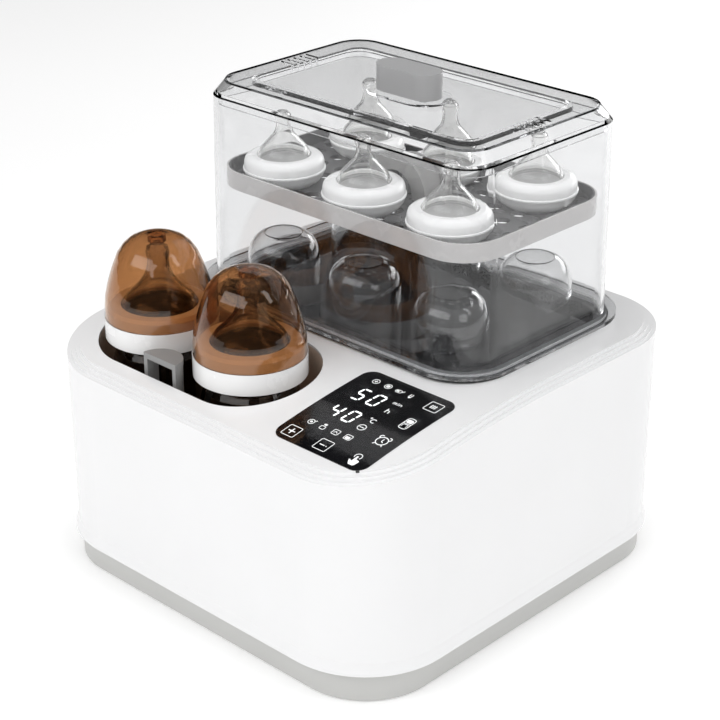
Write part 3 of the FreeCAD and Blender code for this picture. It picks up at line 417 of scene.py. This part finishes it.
# ---------------------------------------------------------------- the touch panel's print
def ink(name, col, strength):
    m, t, p, out = new_mat(name)
    v = coords(t)
    t.links.new(ramp(t, noise(t, v, 800, 2), [(0.3, tuple(c * 0.93 for c in col)), (0.7, col)]), p.inputs["Base Color"])
    p.inputs["Roughness"].default_value = 0.4
    p.inputs["Emission Color"].default_value = (*col, 1)
    p.inputs["Emission Strength"].default_value = strength
    return m


# The printed symbols get a faint emission glow, which is painted light because print gives no light of its own. The
# figures' stronger glow is the display's own light.
INK = ink("panel_ink_painted_glow", (0.86, 0.87, 0.87), 0.35)
LED = ink("panel_digits", (0.95, 0.97, 0.97), 0.9)

SEG = {
    "0": "abcdef", "1": "bc", "2": "abged", "3": "abgcd", "4": "fgbc", "5": "afgcd",
}


def digit(bm, ch, u0, v0, w, hh, t, shear):
    """Seven-segment figure with its lower left corner at (u0, v0)."""
    def P(x, y):
        return (u0 + x + shear * y, v0 + y)

    g = 0.42
    bars = {
        "a": ((0, hh), (w, hh)), "b": ((w, hh), (w, hh / 2)), "c": ((w, hh / 2), (w, 0)), "d": ((0, 0), (w, 0)),
        "e": ((0, 0), (0, hh / 2)), "f": ((0, hh / 2), (0, hh)), "g": ((0, hh / 2), (w, hh / 2)),
    }
    for s in SEG[ch]:
        (x0, y0), (x1, y1) = bars[s]
        L = math.hypot(x1 - x0, y1 - y0)
        dx, dy = (x1 - x0) / L, (y1 - y0) / L
        nx, ny = -dy, dx
        pts = []
        for along, off in ((g, 0), (g + t / 2, t / 2), (L - g - t / 2, t / 2), (L - g, 0), (L - g - t / 2, -t / 2), (g + t / 2, -t / 2)):
            pts.append(P(x0 + dx * along + nx * off, y0 + dy * along + ny * off))
        plate(bm, pts)


bm = bmesh.new()
digit(bm, "5", -22.6, 10.7, 5.9, 11.9, 1.15, 0.09)
digit(bm, "0", -11.1, 11.0, 6.3, 11.9, 1.15, 0.09)
digit(bm, "4", -22.6, -10.2, 6.0, 11.3, 1.15, 0.09)
digit(bm, "0", -10.8, -9.9, 6.2, 11.2, 1.15, 0.09)
link("panel_digits", bm, LED, "base", smooth=False)

bm = bmesh.new()
# units beside the figures
for x in (2.7, 3.75, 4.8):
    strip(bm, [(x, 20.0), (x, 21.6)], 0.42)
strip(bm, [(2.7, 21.6), (4.8, 21.7)], 0.42)
strip(bm, [(6.0, 20.0), (6.0, 21.6)], 0.45)
plate(bm, circle_pts(6.0, 22.3, 0.28, 10))
strip(bm, [(7.2, 20.0), (7.2, 21.6), (8.6, 21.6), (8.9, 21.2), (8.9, 20.0)], 0.42)
strip(bm, [(5.1, 10.2), (5.1, 14.4)], 0.6)
strip(bm, [(5.1, 12.3), (5.9, 12.8), (7.0, 12.6), (7.5, 12.0), (7.5, 10.2)], 0.55)
strip(bm, circle_pts(3.9, 1.3, 0.55, 14), 0.34, closed=True)
strip(bm, circle_pts(6.9, -0.7, 1.75, 16, 50, 310), 0.55)
# minute clock
strip(bm, circle_pts(5.6, -9.0, 2.65, 30), 0.5, closed=True)
strip(bm, [(3.9, -9.0), (7.3, -9.0)], 0.5)


def box_icon(cx, cy, w, h, r=0.9, t=0.42):
    strip(bm, rrect(cx, cy, w, h, r), t, closed=True)


box_icon(24.6, 31.3, 9.4, 9.4)
for k in (-1.5, 0.0, 1.5):
    strip(bm, [(24.6 + k - 0.5, 29.6), (24.6 + k + 0.1, 30.4), (24.6 + k - 0.5, 31.3), (24.6 + k + 0.1, 32.2), (24.6 + k - 0.4, 33.0)], 0.62)
box_icon(-25.8, -34.1, 9.4, 9.4)
strip(bm, [(-28.3, -34.1), (-26.9, -34.1)], 0.7)
strip(bm, [(-24.7, -34.1), (-23.3, -34.1)], 0.7)
strip(bm, [(-25.8, -36.6), (-25.8, -35.2)], 0.7)
strip(bm, [(-25.8, -33.0), (-25.8, -31.6)], 0.7)
plate(bm, circle_pts(-25.8, -34.1, 0.95, 12))
box_icon(-0.6, -34.0, 9.4, 9.4)
strip(bm, [(-3.2, -34.2), (0.4, -34.2)], 0.7)
plate(bm, circle_pts(1.7, -34.2, 0.42, 10))
# feeding bottle in a pill outline
strip(bm, rrect(24.5, 8.8, 5.6, 11.2, 1.9), 0.5, closed=True)
plate(bm, rrect(24.5, 11.2, 4.2, 3.4, 1.2))
strip(bm, [(22.2, 8.6), (26.8, 8.6)], 0.4)
strip(bm, [(22.8, 5.0), (22.8, 7.7), (26.2, 7.7), (26.2, 5.0)], 0.3)
# alarm clock
strip(bm, circle_pts(24.7, -12.7, 3.75, 32), 0.62, closed=True)
strip(bm, [(24.7, -10.6), (24.7, -13.0), (26.2, -13.9)], 0.55)
strip(bm, circle_pts(21.9, -9.3, 1.35, 14, 60, 250), 0.6)
strip(bm, circle_pts(27.6, -9.3, 1.35, 14, -70, 120), 0.6)
strip(bm, [(22.3, -15.9), (21.3, -17.2)], 0.6)
strip(bm, [(27.1, -15.9), (28.1, -17.2)], 0.6)
# touch sign: a ring over a pointing hand
strip(bm, circle_pts(24.0, -31.1, 2.35, 24, -40, 220), 0.5)
plate(bm, [(23.3, -31.3), (23.9, -30.9), (24.5, -31.3), (24.6, -33.6), (27.4, -34.3), (27.8, -35.0), (27.3, -38.2), (26.5, -39.2), (23.4, -39.2), (22.6, -38.4), (20.9, -35.7), (21.4, -35.1), (23.2, -36.2)])
# mode row at the top
for cx, filled in ((-22.4, 0), (-12.7, 1)):
    strip(bm, circle_pts(cx, 33.0, 2.3, 26), 0.42, closed=True)
    if filled:
        plate(bm, circle_pts(cx, 33.0, 1.35, 16))
    else:
        strip(bm, [(cx - 1.2, 33.0), (cx + 1.2, 33.0)], 0.5)
        strip(bm, [(cx, 31.8), (cx, 34.2)], 0.5)
strip(bm, rrect(-3.9, 32.6, 4.4, 2.6, 1.0), 0.4, closed=True)
plate(bm, rrect(-4.5, 32.6, 2.0, 1.3, 0.5))
strip(bm, [(-1.6, 32.6), (-0.6, 33.6), (-0.5, 34.4)], 0.5)
strip(bm, [(4.6, 34.6), (4.9, 33.4), (4.6, 32.2), (5.0, 31.0)], 0.5)
strip(bm, [(6.2, 34.6), (6.5, 33.4), (6.2, 32.2), (6.6, 31.0)], 0.5)
plate(bm, circle_pts(5.6, 31.0, 0.8, 12))
# mode row below the figures
strip(bm, circle_pts(-22.9, -21.1, 2.1, 22), 0.42, closed=True)
plate(bm, circle_pts(-22.9, -21.1, 0.9, 12))
strip(bm, [(-21.2, -19.9), (-19.9, -18.8)], 0.5)
strip(bm, rrect(-13.3, -21.9, 3.4, 3.0, 0.8), 0.42, closed=True)
plate(bm, rrect(-13.3, -18.8, 2.2, 1.5, 0.5))
strip(bm, rrect(-3.3, -21.0, 4.6, 4.4, 0.9), 0.42, closed=True)
strip(bm, [(-4.6, -21.7), (-3.3, -20.3), (-2.0, -21.7)], 0.42)
strip(bm, rrect(6.2, -20.8, 4.8, 4.4, 0.9), 0.42, closed=True)
plate(bm, rrect(6.2, -21.3, 3.2, 2.2, 0.5))
link("panel_symbols", bm, INK, "base", smooth=False)


# ---------------------------------------------------------------- stage, light, camera
def floor():
    bm = bmesh.new()
    s = 6.0
    vs = [bm.verts.new((x, y, 0)) for x, y in ((-s, -s), (s, -s), (s, s), (-s, s))]
    bm.faces.new(vs)
    me = bpy.data.meshes.new("floor")
    bm.to_mesh(me)
    bm.free()
    o = bpy.data.objects.new("floor", me)
    scene.collection.objects.link(o)
    m, t, p, out = new_mat("floor_pale")
    v = coords(t)
    t.links.new(ramp(t, noise(t, v, 3, 2), [(0.3, (0.895, 0.895, 0.895)), (0.7, (0.905, 0.905, 0.905))]), p.inputs["Base Color"])
    p.inputs["Roughness"].default_value = 0.9
    p.inputs["Specular IOR Level"].default_value = 0.1
    p.inputs["Emission Color"].default_value = (1, 1, 1, 1)
    p.inputs["Emission Strength"].default_value = 0.2
    o.data.materials.append(m)
    return o


floor()

world = bpy.data.worlds.new("studio")
world.use_nodes = True
scene.world = world
world.cycles_visibility.glossy = False
wt = world.node_tree
wt.nodes.clear()
wo = wt.nodes.new("ShaderNodeOutputWorld")
bg = wt.nodes.new("ShaderNodeBackground")
bg.inputs["Strength"].default_value = 0.82
wc = wt.nodes.new("ShaderNodeTexCoord")
wx = wt.nodes.new("ShaderNodeSeparateXYZ")
wt.links.new(wc.outputs["Generated"], wx.inputs["Vector"])
wt.links.new(ramp(wt, wx.outputs["Z"], [(0.0, (0.36, 0.36, 0.36)), (0.3, (0.42, 0.42, 0.42)), (0.6, (0.62, 0.62, 0.62)), (1.0, (0.80, 0.80, 0.80))]), bg.inputs["Color"])
wt.links.new(bg.outputs["Background"], wo.inputs["Surface"])


def area(name, loc, target, w, h, power, col=(1, 1, 1), spread=180):
    d = bpy.data.lights.new(name, "AREA")
    d.shape = "RECTANGLE"
    d.size, d.size_y = w, h
    d.energy = power
    d.color = col
    d.spread = math.radians(spread)
    o = bpy.data.objects.new(name, d)
    o.location = loc
    o.rotation_euler = (Vector(target) - Vector(loc)).to_track_quat("-Z", "Y").to_euler()
    o.visible_camera = False
    scene.collection.objects.link(o)
    return o


C0 = (0, 0, 0.15)
area("key_front", (-0.55, -1.9, 1.35), C0, 1.3, 1.0, 3.0)
area("fill_right", (2.0, -0.35, 1.1), C0, 1.0, 1.1, 6.5)
area("top_soft", (-0.1, 0.25, 2.2), C0, 1.8, 1.8, 9.0)


def toward(name, at, az, el, dist, w, h, power):
    """Softbox seen from the spot at, in the direction az (0 = front, 90 = right) and el."""
    a, e = math.radians(az), math.radians(el)
    loc = (at[0] + dist * math.cos(e) * math.sin(a), at[1] - dist * math.cos(e) * math.cos(a), at[2] + dist * math.sin(e))
    return area(name, loc, at, w, h, power)


toward("window", (-0.03, -0.08, 0.2), 0, 38, 1.5, 1.9, 0.75, 8.6)
toward("strip_right", (0.0, 0.0, 0.2), 108, 42, 1.9, 0.35, 1.2, 3.0)
toward("edge_rear", (0.0, 0.05, 0.2), 180, 13, 1.8, 1.6, 0.5, 8.0)
for o in bpy.data.objects:
    if o.type == "LIGHT" and o.name.split(".")[0] in ("key_front", "fill_right", "top_soft"):
        o.visible_glossy = False

cam = bpy.data.cameras.new("camera")
cam.sensor_width = 36.0
cam.sensor_height = 36.0
cam.lens = 93.68
cam.clip_start = 0.01
cam.clip_end = 50
camo = bpy.data.objects.new("camera", cam)
camo.location = (0.7477, -0.7882, 0.6478)
camo.rotation_euler = (math.radians(90 - 25.351), 0, math.radians(43.5515))
scene.collection.objects.link(camo)
scene.camera = camo

scene.view_settings.view_transform = "Standard"
scene.view_settings.look = "None"
scene.cycles.max_bounces = 20
scene.cycles.transmission_bounces = 20
scene.cycles.transparent_max_bounces = 24
scene.cycles.glossy_bounces = 6
scene.cycles.diffuse_bounces = 4
scene.cycles.caustics_reflective = False
scene.cycles.caustics_refractive = True
